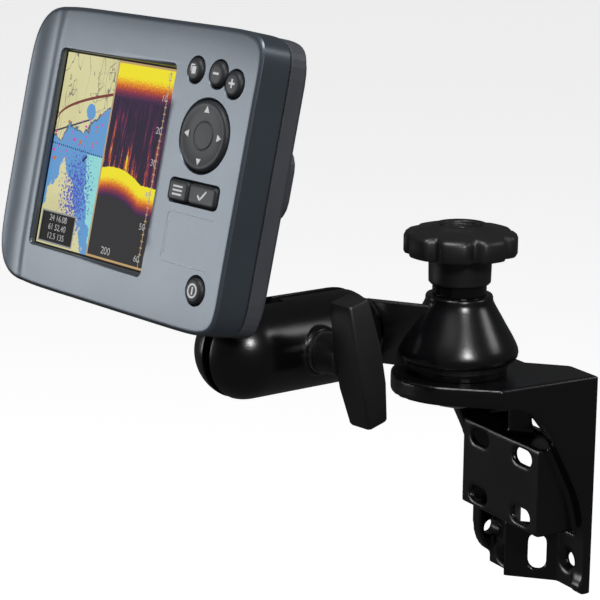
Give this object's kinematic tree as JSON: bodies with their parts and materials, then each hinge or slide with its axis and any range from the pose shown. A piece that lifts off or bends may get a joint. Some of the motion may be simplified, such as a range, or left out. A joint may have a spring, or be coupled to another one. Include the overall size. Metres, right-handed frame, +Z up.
{
  "type": "fish finder",
  "caption": "Sonar display with square screen and keypad, on a wall bracket with a swing arm, clamp knob and double-ball socket arm.",
  "frame": {"origin": "centre of the wall bracket's upper tie bar, on its rear face, which lies on the wall", "axes": "+Z up, +Y into the wall, -Y out towards the user, +X to the right as the screen is seen"},
  "size_m": [0.1877, 0.2378, 0.2941],
  "materials": {
    "black_casting": "satin black powder coat on cast aluminium",
    "black_plastic": "black moulded nylon, fine satin texture",
    "grey_paint": "blue-grey metallic paint, satin",
    "slate_plastic": "dark slate moulded plastic, fine texture",
    "key_rubber": "matt dark rubber with white symbols",
    "steel": "stainless, turned",
    "brass": "turned brass insert",
    "nylon": "glossy black bearing plastic",
    "ball_rubber": "black rubber over metal",
    "window_glass": "clear window with dark printed border",
    "screen": "lit colour display: chart on the left, sonar history on the right",
    "circuit_board": "green solder mask"
  },
  "bodies": {
    "bracket": {"wall_bracket": "black_casting", "pivot_stud": "steel", "lower_washer": "nylon"},
    "swing": {"swing_arm": "black_casting", "upper_washer": "steel", "top_bushing": "nylon"},
    "knob": {"clamp_knob": "black_plastic", "knob_insert": "brass", "knob_cap": "black_plastic"},
    "wall_side_ball": {"ball_wall_side": "ball_rubber"},
    "socket_arm": {"socket_shell_near": "black_casting", "socket_shell_far": "black_casting", "clamp_bolt": "steel", "arm_spring": "steel"},
    "handle": {"clamp_handle": "black_plastic", "handle_washer": "steel"},
    "head_side_ball": {"ball_head_side": "ball_rubber"},
    "display_head": {"front_housing": "grey_paint", "window": "window_glass", "lcd_panel": "screen", "backlight": "black_plastic", "main_board": "circuit_board", "beeper": "black_plastic", "keypad_mat": "key_rubber", "seam_gasket": "key_rubber", "rear_cover": "slate_plastic", "power_socket": "steel", "sonar_socket": "steel", "housing_screw_1": "steel", "housing_screw_2": "steel", "housing_screw_3": "steel", "housing_screw_4": "steel", "mount_adapter": "black_plastic", "adapter_screw_1": "steel", "adapter_screw_2": "steel", "ball_post": "black_casting"},
    "key_pages": {"key_pages": "key_rubber"},
    "key_zoom_out": {"key_zoom_out": "key_rubber"},
    "key_zoom_in": {"key_zoom_in": "key_rubber"},
    "key_arrows": {"key_arrows": "key_rubber"},
    "key_menu": {"key_menu": "key_rubber"},
    "key_enter": {"key_enter": "key_rubber"},
    "key_power": {"key_power": "key_rubber"}
  },
  "joints": [
    {"name": "arm_swing", "type": "hinge", "parent": "bracket", "child": "swing", "pos_m": [0, -0.0548, 0.03], "axis": [0, 0, 1], "range_deg": [-45, 75]},
    {"name": "knob_turn", "type": "hinge", "parent": "bracket", "child": "knob", "pos_m": [0, -0.0548, 0.075], "axis": [0, 0, 1], "range_deg": [0, 350]},
    {"name": "wall_ball_roll", "type": "hinge", "parent": "swing", "child": "wall_side_ball", "pos_m": [-0.0294, -0.1075, 0.0343], "axis": [-0.2112, 0.9768, -0.0349], "range_deg": [-15, 15]},
    {"name": "wall_ball_tilt", "type": "hinge", "parent": "wall_side_ball", "child": "socket_arm", "pos_m": [-0.0294, -0.1075, 0.0343], "axis": [0.9774, 0.2113, 0], "range_deg": [-18, 18]},
    {"name": "handle_turn", "type": "hinge", "parent": "socket_arm", "child": "handle", "pos_m": [-0.02328, -0.13583, 0.03531], "axis": [0.9774, 0.2113, 0], "range_deg": [0, 350]},
    {"name": "head_ball_tilt", "type": "hinge", "parent": "socket_arm", "child": "head_side_ball", "pos_m": [-0.01715, -0.16416, 0.03632], "axis": [0.9774, 0.2113, 0], "range_deg": [-20, 20]},
    {"name": "head_turn", "type": "hinge", "parent": "head_side_ball", "child": "display_head", "pos_m": [-0.01715, -0.16416, 0.03632], "axis": [-0.0475, 0.2252, 0.9731], "range_deg": [-30, 30]},
    {"name": "key_pages_press", "type": "slide", "parent": "display_head", "child": "key_pages", "axis": [-0.1637, 0.9593, -0.23], "range_m": [0, 0.0012], "stiffness_N_per_m": 600},
    {"name": "key_zoom_out_press", "type": "slide", "parent": "display_head", "child": "key_zoom_out", "axis": [-0.1637, 0.9593, -0.23], "range_m": [0, 0.0012], "stiffness_N_per_m": 600},
    {"name": "key_zoom_in_press", "type": "slide", "parent": "display_head", "child": "key_zoom_in", "axis": [-0.1637, 0.9593, -0.23], "range_m": [0, 0.0012], "stiffness_N_per_m": 600},
    {"name": "key_arrows_press", "type": "slide", "parent": "display_head", "child": "key_arrows", "axis": [-0.1637, 0.9593, -0.23], "range_m": [0, 0.0012], "stiffness_N_per_m": 600},
    {"name": "key_menu_press", "type": "slide", "parent": "display_head", "child": "key_menu", "axis": [-0.1637, 0.9593, -0.23], "range_m": [0, 0.0012], "stiffness_N_per_m": 600},
    {"name": "key_enter_press", "type": "slide", "parent": "display_head", "child": "key_enter", "axis": [-0.1637, 0.9593, -0.23], "range_m": [0, 0.0012], "stiffness_N_per_m": 600},
    {"name": "key_power_press", "type": "slide", "parent": "display_head", "child": "key_power", "axis": [-0.1637, 0.9593, -0.23], "range_m": [0, 0.0012], "stiffness_N_per_m": 600}
  ]
}
